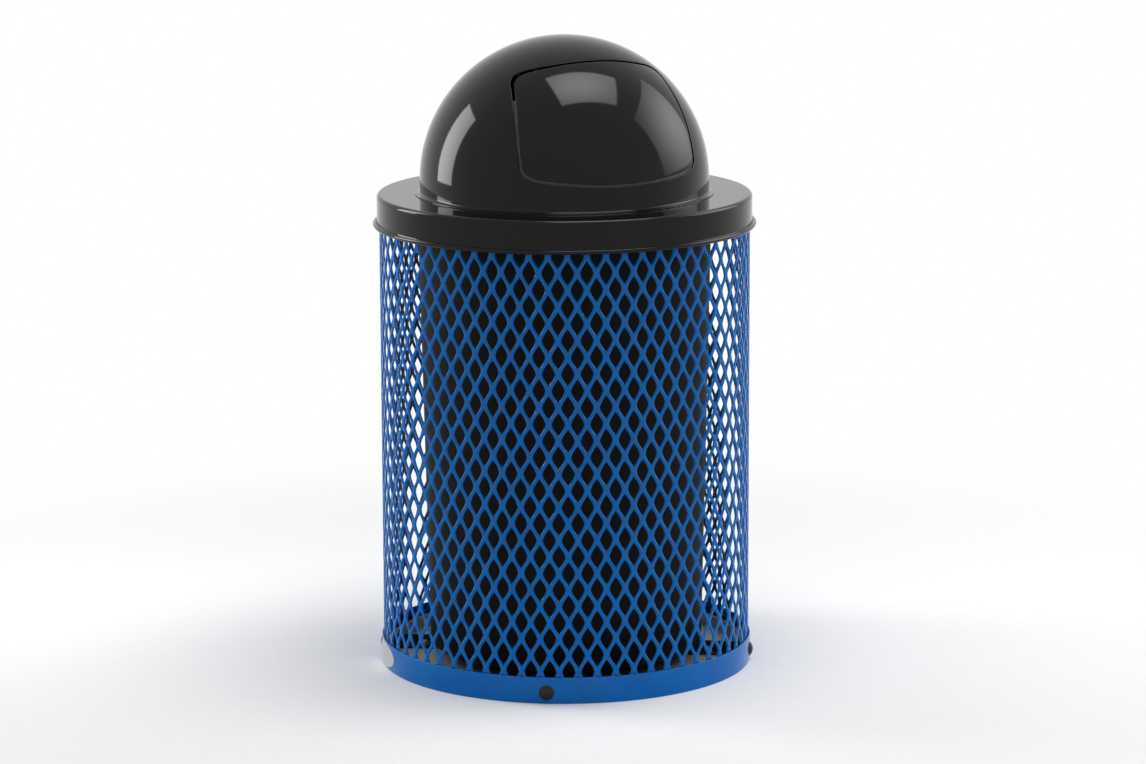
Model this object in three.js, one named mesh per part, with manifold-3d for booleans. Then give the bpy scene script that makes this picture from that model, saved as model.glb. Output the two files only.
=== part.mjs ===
// Dome top waste receptacle: a coated expanded-metal cylinder on a flat base band, a plastic liner inside it,
// and a lift-off steel lid whose dome has a sprung push door.
// Millimetres, +Z up. The origin is on the floor, on the axis. The push door faces -Y.
import * as THREE from "three";
import { mergeVertices } from "three/addons/utils/BufferGeometryUtils.js";
import Module from "manifold-3d";

const wasm = await Module();
wasm.setup();

// ---------------------------------------------------------------- driving sizes
const FIT_GAP = 0.3; // left between pieces that touch
const ROUND_SIDES = 48; // facets round every large ring
const BOLT_SIDES = 12; // facets round a bolt, rod or drilled hole
const NUT_BORE_SIDES = 8;
const CORNER_STEPS = 3; // facets of a rounded corner in a turned piece
const HEM_STEPS = 6;

// Body: base band, expanded mesh, rim band under the lid
const BAND_RADIUS = 305;
const BAND_WALL = 2;
const BAND_HEIGHT = 43;
const MESH_THICKNESS = 3.4;
const MESH_LAP = 13; // how far the mesh reaches down inside the base band
const MESH_COLUMNS = 26; // diamonds round the body
const DIAMOND_RATIO = 1.76; // height of a diamond cell over its width
const STRAND_WIDTH = 13;
const BODY_TOP = 777;
const RIM_BAND_HEIGHT = 25;
const RIM_BAND_WALL = 3;

// Bottom: pan, cross bars of angle section, and their bolts
const BOLT_HEIGHT = 18; // carriage bolt axis above the floor
const FIRST_BOLT_AZIMUTH = -29.2; // degrees from the door, towards +X
const BAR_LEG_HEIGHT = 19;
const BAR_LEG_DEPTH = 25;
const BAR_WALL = 3;
const BAR_TAB_HALF_WIDTH = 15;
const PAN_RIM_CLEARANCE = 5.05; // pan rim to what stands inside the band
const PAN_SHEET = 1.5;
const PAN_FLANGE = 6;
const PAN_RIM_HEIGHT = 26; // above the floor
const NOTCH_CLEARANCE = 1; // each side of a bar in the pan's wall
const NUT_CLEARANCE = 1; // round a carriage nut in the bar's flat leg
const CARRIAGE_SHANK_RADIUS = 5;
const CARRIAGE_HEAD_RADIUS = 12.3;
const CARRIAGE_HEAD_HEIGHT = 5.4;
const CARRIAGE_NUT_RADIUS = 9.8; // across corners, halved
const CARRIAGE_NUT_LENGTH = 8;
const CARRIAGE_SPARE_THREAD = 3;
const PAN_BOLT_INSET = 65.68; // from the outer face of a bar's end tab
const PAN_BOLT_SHANK_RADIUS = 4;
const PAN_BOLT_HEAD_RADIUS = 7.5;
const PAN_BOLT_HEAD_HEIGHT = 3.4;
const PAN_NUT_LENGTH = 6.5;
const PAN_BOLT_SPARE_THREAD = 2.5;
const HOLE_CLEARANCE = 0.4; // on a bolt's radius

// Liner
const LINER_BOTTOM_RADIUS = 224;
const LINER_TAPER = 0.0212; // growth of the radius per millimetre of height
const LINER_HEIGHT = 712;
const LINER_WALL = 3;
const LINER_FLOOR = 4;
const LINER_CORNER = 9;
const LINER_RIM_REACH = 11;
const LINER_RIM_DROP = 14;

// Lid ring: flat flange, skirt and rolled hem
const LID_SHEET = 1.2;
const SKIRT_CLEARANCE = 2.65; // inside the skirt to the mesh
const SKIRT_DEPTH = 49.2; // flange top to the middle of the hem
const LID_EDGE_RADIUS = 6;
const HEM_RADIUS = 3.6;
const HEM_OPENING = 150; // degrees from the hem's outermost point to where it meets the skirt
const FLANGE_REACH = 5.6; // how far the flange reaches in past the inside of the dome

// Dome
const DOME_RADIUS = 235.8;
const DOME_COLLAR = 19.9; // straight part below the half sphere
const DOME_FOOT = 8;
const DOME_FILLET = 4;
const DOME_RINGS = 9; // facets from the collar up to the crown

// Push door: its lower edge is above the middle of the sphere, and its upper one below the dome's crown
const DOOR_BOTTOM = 20;
const DOOR_BOTTOM_CORNER = 32;
const DOOR_TOP_DROP = 28.8;
const DOOR_TOP_CORNER_DROP = 49.8;
const DOOR_HALF_WIDTH_BOTTOM = 151;
const DOOR_HALF_WIDTH_TOP = 127;
const DOOR_SIDE_BOW = 9;
const DOOR_CORNER_SHARE = 0.09; // part of each edge that a rounded corner takes
const DOOR_EDGE_STEPS = 8;
const DOOR_CORNER_STEPS = 4;
const DOOR_SIDE_GAP = 3.5;
const DOOR_BOTTOM_GAP = 4;
const DOOR_TOP_GAP = 2;
const STOP_FRAME_SHEET = 1.5;
const STOP_FRAME_OVERLAP = 5; // behind the dome's edge
const STOP_FRAME_WIDTH = 22;
const STOP_FRAME_TOP_DROP = 85.8; // below the dome's crown

// Door hinge
const HINGE_DEPTH = 54.83; // axis below the inside of the dome
const HINGE_ELEVATION = 67.43; // degrees, of the axis seen from the middle of the sphere
const ROD_RADIUS = 4;
const BRACKET_PLACE = 112; // middle of a bracket from the mid-plane
const HINGE_PLATE = 3; // thickness of the brackets and the door's arms
const HINGE_FOOT_SHEET = 2.5;
const HINGE_FOOT_WIDTH = 14;
const EYE_RADIUS = 9;
const EYE_STEPS = 8;
const ARM_FOOT_LOW = 42; // degrees of elevation where an arm meets the door
const ARM_FOOT_HIGH = 59;
const BRACKET_FOOT_LOW = 74;
const BRACKET_FOOT_HIGH = 90;
const CLIP_RADIUS = 7.5;
const CLIP_THICKNESS = 1.5;
const ROD_SPARE = 2.5; // rod end beyond a clip
const SPRING_TURNS = 5;
const SPRING_PITCH = 3.2;
const SPRING_WIRE_RADIUS = 1.2;
const SPRING_CLEARANCE = 0.6; // round the rod, and at each end of the coil
const SPRING_LEG_ELEVATION = 57; // degrees, where the long leg meets the door
const SPRING_STOP_LEG = 17;
const SPRING_STEPS = 8; // per turn
const SPRING_LEG_STEPS = 6;
const SPRING_STOP_STEPS = 3;
const SPRING_WIRE_SIDES = 5;

// ---------------------------------------------------------------- derived places
// How far the middle of a facet lies inside the circle through its corners.
const facetSag = (radius, sides) => radius * (1 - Math.cos(Math.PI / sides));
const bandInner = BAND_RADIUS - BAND_WALL;
// How far out a piece reaches that stands against the inside of the band.
const bandClear = bandInner - facetSag(bandInner, ROUND_SIDES) - FIT_GAP;
const meshOuter = bandClear;
const meshInner = meshOuter - MESH_THICKNESS;
const meshBottom = BAND_HEIGHT - MESH_LAP;
const meshTop = BODY_TOP - LID_EDGE_RADIUS; // clear of the lid's rounded edge
const rimBandOuter = meshInner - facetSag(meshInner, 2 * MESH_COLUMNS) - FIT_GAP;
const barBottom = BOLT_HEIGHT - BAR_LEG_HEIGHT / 2;
const barTop = barBottom + BAR_LEG_HEIGHT;
const tabFace = Math.sqrt(bandClear ** 2 - BAR_TAB_HALF_WIDTH ** 2); // outer face of a bar's end tab
const panBoltPlace = tabFace - PAN_BOLT_INSET; // from the axis
const panBoltOffset = -BAR_WALL / 2; // middle of the flat leg's free part
const panRimRadius = bandClear - PAN_RIM_CLEARANCE;
const panWallRadius = panRimRadius - PAN_FLANGE;
const panFloorTop = barBottom - FIT_GAP;
const panHoleRadius = PAN_BOLT_SHANK_RADIUS + HOLE_CLEARANCE;
const linerBottom = barTop + FIT_GAP;
const linerTop = linerBottom + LINER_HEIGHT;
const skirtInner = meshOuter + SKIRT_CLEARANCE;
const skirtOuter = skirtInner + LID_SHEET;
const flangeBottom = BODY_TOP + FIT_GAP;
const flangeTop = flangeBottom + LID_SHEET;
const hemCentreHeight = flangeTop - SKIRT_DEPTH;
const footBottom = flangeTop + FIT_GAP;
const sphereCentre = footBottom + DOME_COLLAR;
const domeInner = DOME_RADIUS - LID_SHEET;
const lidOpeningRadius = domeInner - FLANGE_REACH;
const doorTop = DOME_RADIUS - DOOR_TOP_DROP; // above the middle of the sphere
const doorTopCorner = DOME_RADIUS - DOOR_TOP_CORNER_DROP;
const stopFrameTop = sphereCentre + DOME_RADIUS - STOP_FRAME_TOP_DROP;
const backingOuter = domeInner - FIT_GAP; // pieces fixed behind the dome and door
const degrees = THREE.MathUtils.degToRad;
const hingeDistance = domeInner - HINGE_DEPTH;
const hingeY = -hingeDistance * Math.cos(degrees(HINGE_ELEVATION));
const hingeZ = sphereCentre + hingeDistance * Math.sin(degrees(HINGE_ELEVATION));
const springLength = SPRING_TURNS * SPRING_PITCH + 2 * SPRING_WIRE_RADIUS;
const armPlace = BRACKET_PLACE - HINGE_PLATE - springLength - 2 * SPRING_CLEARANCE;
const springPlace = (armPlace + BRACKET_PLACE) / 2;
const clipPlace = BRACKET_PLACE + HINGE_PLATE / 2 + FIT_GAP; // inner face of a rod clip

// ---------------------------------------------------------------- finishes
const finish = (color, roughness, metalness) => () =>
  new THREE.MeshStandardMaterial({ color, roughness, metalness });
const blueCoating = finish(0x0f70c4, 0.35, 0.0);
const blackGloss = finish(0x101010, 0.15, 0.0);
const blackPlastic = finish(0x1b1c20, 0.6, 0.0);
const greySteel = finish(0x8a8682, 0.5, 0.6);
const blackPaint = finish(0x141414, 0.4, 0.2);
const zincSteel = finish(0xb4b6b8, 0.35, 1.0);

// ---------------------------------------------------------------- solids
function solidOf(geometry) {
  const bare = geometry.index ? geometry.toNonIndexed() : geometry.clone();
  bare.deleteAttribute("normal");
  bare.deleteAttribute("uv");
  const merged = mergeVertices(bare, 1e-4);
  return new wasm.Manifold(
    new wasm.Mesh({
      numProp: 3,
      vertProperties: merged.attributes.position.array,
      triVerts: new Uint32Array(merged.index.array),
    }),
  );
}

function geometryOf(solid) {
  const made = solid.getMesh();
  const geometry = new THREE.BufferGeometry();
  geometry.setAttribute("position", new THREE.BufferAttribute(made.vertProperties, 3));
  geometry.setIndex(new THREE.BufferAttribute(made.triVerts, 1));
  geometry.computeVertexNormals();
  return geometry;
}

// A profile of (radius, height) points turned about the Z axis. A profile that starts and ends on the axis is
// left open there, and any other is closed on itself.
function turned(profile, sides = ROUND_SIDES) {
  const points = profile.map(([radius, height]) => new THREE.Vector2(radius, height));
  const onAxis = profile[0][0] === 0;
  if (THREE.ShapeUtils.area(points) < 0) points.reverse();
  if (!onAxis) points.push(points[0].clone());
  return new THREE.LatheGeometry(points, sides).rotateX(Math.PI / 2);
}

// A round bar standing on a height, along +Z.
function barAlongZ(radius, low, high, sides = BOLT_SIDES) {
  return new THREE.CylinderGeometry(radius, radius, high - low, sides)
    .rotateX(Math.PI / 2)
    .translate(0, 0, (low + high) / 2);
}

// A washer-shaped solid between two radii and two heights.
function ringSolid(inner, outer, low, high, sides = ROUND_SIDES) {
  return turned([[inner, low], [outer, low], [outer, high], [inner, high]], sides);
}

// Points of an arc in a profile, both ends included.
function arc(centreRadius, centreHeight, radius, fromDegrees, toDegrees, steps) {
  return Array.from({ length: steps + 1 }, (_, i) => {
    const angle = degrees(fromDegrees + ((toDegrees - fromDegrees) * i) / steps);
    return [centreRadius + radius * Math.cos(angle), centreHeight + radius * Math.sin(angle)];
  });
}

// The same arc with its last point exactly on the axis.
function arcToAxis(points) {
  return [...points.slice(0, -1), [0, points[points.length - 1][1]]];
}

// A round bar along +X from one place to another.
function barAlongX(radius, from, to, sides = BOLT_SIDES) {
  return new THREE.CylinderGeometry(radius, radius, to - from, sides)
    .rotateZ(-Math.PI / 2)
    .translate((from + to) / 2, 0, 0);
}

function box(sizeX, sizeY, sizeZ, x, y, z) {
  return new THREE.BoxGeometry(sizeX, sizeY, sizeZ).translate(x, y, z);
}

// ---------------------------------------------------------------- scene graph
const receptacle = new THREE.Group();

function add(name, geometry, material, parent = receptacle) {
  const mesh = new THREE.Mesh(geometry, material());
  mesh.name = name;
  parent.add(mesh);
  return mesh;
}

// A group whose +X points outwards at an azimuth measured from the door towards +X.
function outwardGroup(azimuth) {
  const group = new THREE.Group();
  group.rotation.z = degrees(azimuth - 90);
  receptacle.add(group);
  return group;
}

// Bolts one to four, and the side of the bar's axis on which each pan bolt stands, seen outwards.
const boltPlaces = [0, 1, 2, 3].map((quarter) => ({
  azimuth: FIRST_BOLT_AZIMUTH + 90 * quarter,
  panSide: quarter === 3 ? -panBoltOffset : panBoltOffset,
}));

// ---------------------------------------------------------------- base band
// A flat strip rolled into a hoop. Four square-necked bolts pass through it.
function baseBand() {
  const holeRadius = CARRIAGE_SHANK_RADIUS + HOLE_CLEARANCE;
  let band = solidOf(ringSolid(bandInner, BAND_RADIUS, 0, BAND_HEIGHT));
  for (const { azimuth } of boltPlaces) {
    const hole = barAlongX(holeRadius, bandInner - BAND_WALL, BAND_RADIUS + BAND_WALL);
    band = band.subtract(solidOf(hole.translate(0, 0, BOLT_HEIGHT).rotateZ(degrees(azimuth - 90))));
  }
  return geometryOf(band);
}
add("base_band", baseBand(), blueCoating);

// ---------------------------------------------------------------- expanded mesh
// One sheet of expanded metal rolled into a cylinder. The diamonds stand on end, in rows that are staggered
// by half a diamond. Each bond is a small diamond whose corners are those of the four openings round it, and
// four strands leave it for its neighbours.
function expandedMesh() {
  const cellAngle = (2 * Math.PI) / MESH_COLUMNS;
  const middleRadius = (meshOuter + meshInner) / 2;
  const cellWidth = cellAngle * middleRadius;
  const cellHeight = cellWidth * DIAMOND_RATIO;
  const side = Math.hypot(cellWidth, cellHeight);
  const halfOpeningAngle = cellAngle / 2 - (STRAND_WIDTH * side) / (2 * cellHeight) / middleRadius;
  const halfOpeningHeight = cellHeight / 2 - (STRAND_WIDTH * side) / (2 * cellWidth);
  const rows = 2 * Math.ceil((meshTop - meshBottom) / cellHeight) + 2;
  const lowest = meshBottom - cellHeight;
  const positions = [];
  const faces = [];

  // The four corners of an opening, outside then inside, in the order right, top, left, bottom.
  const corners = [[1, 0], [0, 1], [-1, 0], [0, -1]];
  for (let row = 0; row < rows; row++)
    for (let column = 0; column < MESH_COLUMNS; column++)
      for (const radius of [meshOuter, meshInner])
        for (const [across, up] of corners) {
          const angle = (column + (row % 2) / 2) * cellAngle + across * halfOpeningAngle;
          const height = lowest + (row * cellHeight) / 2 + up * halfOpeningHeight;
          positions.push(radius * Math.cos(angle), radius * Math.sin(angle), height);
        }

  const corner = (row, column, layer, which) =>
    8 * (row * MESH_COLUMNS + ((column + MESH_COLUMNS) % MESH_COLUMNS)) + 4 * layer + which;
  const [RIGHT, TOP, LEFT, BOTTOM] = [0, 1, 2, 3];
  const quad = (a, b, c, d) => faces.push(a, b, c, a, c, d);
  const skin = (pick) => {
    quad(...pick(0));
    quad(...pick(1).reverse());
  };

  for (let row = 0; row < rows; row++)
    for (let column = 0; column < MESH_COLUMNS; column++) {
      // walls of the opening
      for (let k = 0; k < 4; k++) {
        const next = (k + 1) % 4;
        quad(
          corner(row, column, 0, k),
          corner(row, column, 0, next),
          corner(row, column, 1, next),
          corner(row, column, 1, k),
        );
      }
      if (row === rows - 1) continue;
      // the openings above this one, to the left and to the right
      const left = row % 2 ? column : column - 1;
      const right = left + 1;
      skin((layer) => [
        corner(row, column, layer, TOP),
        corner(row, column, layer, RIGHT),
        corner(row + 1, right, layer, BOTTOM),
        corner(row + 1, right, layer, LEFT),
      ]);
      skin((layer) => [
        corner(row, column, layer, LEFT),
        corner(row, column, layer, TOP),
        corner(row + 1, left, layer, RIGHT),
        corner(row + 1, left, layer, BOTTOM),
      ]);
      if (row === rows - 2) continue;
      // the bond between this opening and the one two rows above
      skin((layer) => [
        corner(row, column, layer, TOP),
        corner(row + 1, right, layer, LEFT),
        corner(row + 2, column, layer, BOTTOM),
        corner(row + 1, left, layer, RIGHT),
      ]);
    }

  // The first and last rows are closed by a plain edge, which the trimming below cuts away.
  for (let column = 0; column < MESH_COLUMNS; column++)
    for (const [row, edge, turn] of [[0, BOTTOM, 1], [rows - 1, TOP, -1]]) {
      const beside = (layer, which) => corner(row, column + 1, layer, which);
      const rim = [
        corner(row, column, 0, edge),
        beside(0, edge),
        beside(1, edge),
        corner(row, column, 1, edge),
      ];
      const neighbour = row === 0 ? 1 : row - 1;
      const between = row % 2 ? column + 1 : column;
      for (const layer of [0, 1]) {
        const web = [
          corner(row, column, layer, RIGHT),
          corner(row, column, layer, edge),
          beside(layer, edge),
          beside(layer, LEFT),
          corner(neighbour, between, layer, edge),
        ];
        const outward = (layer === 0) === (turn === 1);
        if (!outward) web.reverse();
        for (let k = 1; k < web.length - 1; k++) faces.push(web[0], web[k], web[k + 1]);
      }
      if (turn === 1) rim.reverse();
      quad(...rim);
    }

  const sheet = new THREE.BufferGeometry();
  sheet.setAttribute("position", new THREE.Float32BufferAttribute(positions, 3));
  sheet.setIndex(faces);
  const keep = turned([
    [0, meshBottom],
    [BAND_RADIUS + BAND_WALL, meshBottom],
    [BAND_RADIUS + BAND_WALL, meshTop],
    [0, meshTop],
  ]);
  return geometryOf(solidOf(sheet).intersect(solidOf(keep)));
}
add("mesh_shell", expandedMesh(), blueCoating);

// ---------------------------------------------------------------- rim band
// A flat hoop welded inside the top of the mesh, which the lid's flange rests on.
add(
  "top_rim_band",
  ringSolid(rimBandOuter - RIM_BAND_WALL, rimBandOuter, BODY_TOP - RIM_BAND_HEIGHT, BODY_TOP),
  blueCoating,
);

// ---------------------------------------------------------------- cross bars
// Angle bars between the band's bolts: the long one goes right across, and a short one meets it from each
// side. The flat leg lies on the pan, and an end tab against the band takes the carriage bolt.
function angleBar(from, to, tabFaces) {
  const half = BAR_LEG_DEPTH / 2;
  const section = new THREE.Shape([
    new THREE.Vector2(0, 0),
    new THREE.Vector2(BAR_LEG_DEPTH, 0),
    new THREE.Vector2(BAR_LEG_DEPTH, BAR_WALL),
    new THREE.Vector2(BAR_WALL, BAR_WALL),
    new THREE.Vector2(BAR_WALL, BAR_LEG_HEIGHT),
    new THREE.Vector2(0, BAR_LEG_HEIGHT),
  ]);
  const length = new THREE.ExtrudeGeometry(section, { depth: to - from, bevelEnabled: false });
  // The section's first axis runs towards -Y and its second one up. Its length runs back from the outer end.
  const upright = new THREE.Matrix4().set(0, 0, -1, to, -1, 0, 0, half, 0, 1, 0, barBottom, 0, 0, 0, 1);
  let bar = solidOf(length.applyMatrix4(upright));
  for (const face of tabFaces) {
    const outward = Math.sign(face);
    const middle = face - (outward * BAR_WALL) / 2;
    const tab = box(BAR_WALL, 2 * BAR_TAB_HALF_WIDTH, BAR_LEG_HEIGHT, middle, 0, BOLT_HEIGHT);
    const boltHole = barAlongX(CARRIAGE_SHANK_RADIUS + HOLE_CLEARANCE, middle - BAR_WALL, middle + BAR_WALL);
    const roomLength = CARRIAGE_NUT_LENGTH + CARRIAGE_SPARE_THREAD + 2 * NUT_CLEARANCE;
    const nutRoom = box(
      roomLength,
      2 * (CARRIAGE_NUT_RADIUS * Math.cos(Math.PI / 6) + NUT_CLEARANCE),
      2 * BAR_WALL + FIT_GAP,
      face - outward * (BAR_WALL + roomLength / 2),
      0,
      barBottom,
    );
    const panHole = barAlongZ(panHoleRadius, barBottom - BAR_WALL, barBottom + 2 * BAR_WALL);
    bar = bar
      .add(solidOf(tab))
      .subtract(solidOf(boltHole.translate(0, 0, BOLT_HEIGHT)))
      .subtract(solidOf(nutRoom))
      .subtract(solidOf(panHole.translate(outward * panBoltPlace, panBoltOffset, 0)));
  }
  return geometryOf(bar);
}
const shortBarStart = BAR_LEG_DEPTH / 2 + FIT_GAP;
const longBar = angleBar(-tabFace, tabFace, [-tabFace, tabFace]);
const shortBar = angleBar(shortBarStart, tabFace, [tabFace]);
add("cross_bar_long", longBar, blackPaint, outwardGroup(boltPlaces[1].azimuth));
add("cross_bar_front", shortBar, blackPaint, outwardGroup(boltPlaces[0].azimuth));
add("cross_bar_back", shortBar.clone(), blackPaint, outwardGroup(boltPlaces[2].azimuth));

// ---------------------------------------------------------------- bottom pan
// A shallow pressed pan under the bars. Its wall and turned-out rim are notched where the bars pass.
function bottomPan() {
  const wallInner = panWallRadius - PAN_SHEET;
  const rimUnder = PAN_RIM_HEIGHT - PAN_SHEET;
  const floorUnder = panFloorTop - PAN_SHEET;
  let pan = solidOf(
    turned([
      [0, panFloorTop],
      [wallInner, panFloorTop],
      [wallInner, PAN_RIM_HEIGHT],
      [panRimRadius, PAN_RIM_HEIGHT],
      [panRimRadius, rimUnder],
      [panWallRadius, rimUnder],
      [panWallRadius, floorUnder],
      [0, floorUnder],
    ]),
  );
  const notchFrom = wallInner * Math.cos(Math.PI / ROUND_SIDES) - NOTCH_CLEARANCE - BAR_WALL;
  const notchLength = 2 * (PAN_FLANGE + BAR_LEG_DEPTH);
  for (const { azimuth, panSide } of boltPlaces) {
    const notch = box(
      notchLength,
      2 * (BAR_TAB_HALF_WIDTH + NOTCH_CLEARANCE),
      PAN_RIM_HEIGHT,
      notchFrom + notchLength / 2,
      0,
      panFloorTop + PAN_RIM_HEIGHT / 2,
    );
    const hole = barAlongZ(panHoleRadius, floorUnder - PAN_SHEET, panFloorTop + PAN_SHEET);
    hole.translate(panBoltPlace, panSide, 0);
    for (const cutter of [notch, hole]) pan = pan.subtract(solidOf(cutter.rotateZ(degrees(azimuth - 90))));
  }
  return geometryOf(pan);
}
add("bottom_pan", bottomPan(), greySteel);

// ---------------------------------------------------------------- bolts and nuts
// Carriage bolts come in from outside: a domed head on the band, the shank through the band and the bar's
// tab, and a nut behind the tab. Hexagon bolts come up through the pan and the bar's flat leg.
function carriageBolt() {
  const headBase = BAND_RADIUS + FIT_GAP;
  const capRadius = (CARRIAGE_HEAD_RADIUS ** 2 + CARRIAGE_HEAD_HEIGHT ** 2) / (2 * CARRIAGE_HEAD_HEIGHT);
  const capCentre = CARRIAGE_HEAD_HEIGHT - capRadius;
  const capEdge = THREE.MathUtils.radToDeg(Math.asin(-capCentre / capRadius));
  const tip = tabFace - BAR_WALL - CARRIAGE_NUT_LENGTH - CARRIAGE_SPARE_THREAD - headBase;
  const profile = [
    [0, tip],
    [CARRIAGE_SHANK_RADIUS, tip],
    [CARRIAGE_SHANK_RADIUS, 0],
    ...arcToAxis(arc(0, capCentre, capRadius, capEdge, 90, CORNER_STEPS)),
  ];
  return turned(profile, BOLT_SIDES).rotateY(Math.PI / 2).translate(headBase, 0, BOLT_HEIGHT);
}

// A hexagon nut on a bore along +Z. Its corners point along Y, so two of its flats face +X and -X.
function hexNut(cornerRadius, bore, length) {
  const hexagon = new THREE.Shape(
    Array.from({ length: 6 }, (_, i) => {
      const angle = Math.PI / 6 + (i * Math.PI) / 3;
      return new THREE.Vector2(cornerRadius * Math.cos(angle), cornerRadius * Math.sin(angle));
    }),
  );
  hexagon.holes.push(new THREE.Path().absarc(0, 0, bore, 0, 2 * Math.PI, true));
  const pressed = { depth: length, bevelEnabled: false, curveSegments: NUT_BORE_SIDES };
  return new THREE.ExtrudeGeometry(hexagon, pressed);
}

function hexBolt(headRadius, headHeight, shankRadius, shankLength) {
  const head = barAlongZ(headRadius, -headHeight, 0, 6);
  const shank = barAlongZ(shankRadius, -headHeight / 2, shankLength);
  return geometryOf(solidOf(head).add(solidOf(shank)));
}

boltPlaces.forEach(({ azimuth, panSide }, index) => {
  const place = outwardGroup(azimuth);
  const number = index + 1;
  add(`carriage_bolt_${number}`, carriageBolt(), blackPaint, place);
  const nut = hexNut(CARRIAGE_NUT_RADIUS, CARRIAGE_SHANK_RADIUS + HOLE_CLEARANCE, CARRIAGE_NUT_LENGTH)
    .rotateZ(Math.PI / 2)
    .rotateY(-Math.PI / 2)
    .translate(tabFace - BAR_WALL - FIT_GAP, 0, BOLT_HEIGHT);
  add(`carriage_nut_${number}`, nut, zincSteel, place);

  const underPan = panFloorTop - PAN_SHEET - FIT_GAP;
  const nutSeat = barBottom + BAR_WALL + FIT_GAP;
  const shankLength = nutSeat + PAN_NUT_LENGTH + PAN_BOLT_SPARE_THREAD - underPan;
  const bolt = hexBolt(PAN_BOLT_HEAD_RADIUS, PAN_BOLT_HEAD_HEIGHT, PAN_BOLT_SHANK_RADIUS, shankLength);
  add(`pan_bolt_${number}`, bolt.translate(panBoltPlace, panSide, underPan), zincSteel, place);
  const panNut = hexNut(PAN_BOLT_HEAD_RADIUS, PAN_BOLT_SHANK_RADIUS + HOLE_CLEARANCE, PAN_NUT_LENGTH);
  add(`pan_nut_${number}`, panNut.translate(panBoltPlace, panSide, nutSeat), zincSteel, place);
});

// ---------------------------------------------------------------- liner
// A tapered plastic tub with a rounded bottom edge and a turned-down rim.
function liner() {
  const outerAt = (height) => LINER_BOTTOM_RADIUS + LINER_TAPER * (height - linerBottom);
  const cornerTop = linerBottom + LINER_CORNER;
  const cornerRadius = outerAt(cornerTop) - LINER_CORNER;
  const innerCorner = LINER_CORNER - LINER_WALL;
  const floorTop = linerBottom + LINER_FLOOR;
  const rimUnder = linerTop - LINER_WALL;
  const rimOuter = outerAt(linerTop) + LINER_RIM_REACH;
  const rimLip = linerTop - LINER_RIM_DROP;
  return turned([
    [0, linerBottom],
    ...arc(cornerRadius, cornerTop, LINER_CORNER, -90, 0, CORNER_STEPS),
    [outerAt(rimUnder), rimUnder],
    [rimOuter - LINER_WALL, rimUnder],
    [rimOuter - LINER_WALL, rimLip],
    [rimOuter, rimLip],
    [rimOuter, linerTop],
    [outerAt(linerTop) - LINER_WALL, linerTop],
    ...arc(cornerRadius, floorTop + innerCorner, innerCorner, 0, -90, CORNER_STEPS),
    [0, floorTop],
  ]);
}
add("liner", liner(), blackPlastic);

// ---------------------------------------------------------------- lid ring
// One pressed ring: a flat flange, a rounded edge, a straight skirt and a hem rolled outwards into a bead.
function lidRing() {
  const edgeCentre = skirtOuter - LID_EDGE_RADIUS;
  const edgeHeight = flangeTop - LID_EDGE_RADIUS;
  const hemCentre = skirtOuter + HEM_RADIUS - LID_SHEET / 2;
  return turned([
    [lidOpeningRadius, flangeTop],
    ...arc(edgeCentre, edgeHeight, LID_EDGE_RADIUS, 90, 0, CORNER_STEPS),
    ...arc(hemCentre, hemCentreHeight, HEM_RADIUS, HEM_OPENING, -HEM_OPENING, HEM_STEPS),
    [skirtInner, hemCentreHeight],
    ...arc(edgeCentre, edgeHeight, LID_EDGE_RADIUS - LID_SHEET, 0, 90, CORNER_STEPS),
    [lidOpeningRadius, flangeBottom],
  ]);
}
add("lid_ring", lidRing(), blackGloss);

// ---------------------------------------------------------------- door outline
// The outline seen from the front: four bowed edges and rounded corners, pulled in by a margin at the sides,
// the bottom and the top.
function doorOutline(sideMargin, bottomMargin, topMargin) {
  const bottomHalf = DOOR_HALF_WIDTH_BOTTOM - sideMargin;
  const topHalf = DOOR_HALF_WIDTH_TOP - sideMargin;
  const lowCorner = sphereCentre + DOOR_BOTTOM_CORNER + bottomMargin;
  const highCorner = sphereCentre + doorTopCorner - topMargin;
  const corners = [
    new THREE.Vector2(-bottomHalf, lowCorner),
    new THREE.Vector2(bottomHalf, lowCorner),
    new THREE.Vector2(topHalf, highCorner),
    new THREE.Vector2(-topHalf, highCorner),
  ];
  const bows = [DOOR_BOTTOM_CORNER - DOOR_BOTTOM, DOOR_SIDE_BOW, doorTop - doorTopCorner, DOOR_SIDE_BOW];
  const edges = corners.map((start, i) => {
    const end = corners[(i + 1) % corners.length];
    const along = end.clone().sub(start).normalize();
    const outwards = new THREE.Vector2(along.y, -along.x);
    // A quadratic curve passes half as far from its chord as its control point.
    const control = start.clone().add(end).multiplyScalar(0.5).addScaledVector(outwards, 2 * bows[i]);
    return new THREE.QuadraticBezierCurve(start, control, end);
  });
  const points = [];
  edges.forEach((edge, i) => {
    const following = edges[(i + 1) % edges.length];
    const last = 1 - DOOR_CORNER_SHARE;
    for (let k = 0; k <= DOOR_EDGE_STEPS; k++)
      points.push(edge.getPoint(DOOR_CORNER_SHARE + ((last - DOOR_CORNER_SHARE) * k) / DOOR_EDGE_STEPS));
    const roundEnd = following.getPoint(DOOR_CORNER_SHARE);
    const round = new THREE.QuadraticBezierCurve(edge.getPoint(last), edge.v2, roundEnd);
    points.push(...round.getPoints(DOOR_CORNER_STEPS).slice(1, -1));
  });
  return new THREE.Shape(points);
}

// The outline pushed through the front of the dome, from its mid-plane outwards.
function doorPrism(sideMargin, bottomMargin = sideMargin, topMargin = sideMargin) {
  const outline = doorOutline(sideMargin, bottomMargin, topMargin);
  const prism = new THREE.ExtrudeGeometry(outline, { depth: DOME_RADIUS + DOME_FOOT, bevelEnabled: false });
  return solidOf(prism.rotateX(Math.PI / 2));
}

// ---------------------------------------------------------------- dome
const domeArc = (radius) => arcToAxis(arc(0, sphereCentre, radius, 0, 90, DOME_RINGS));

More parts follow.
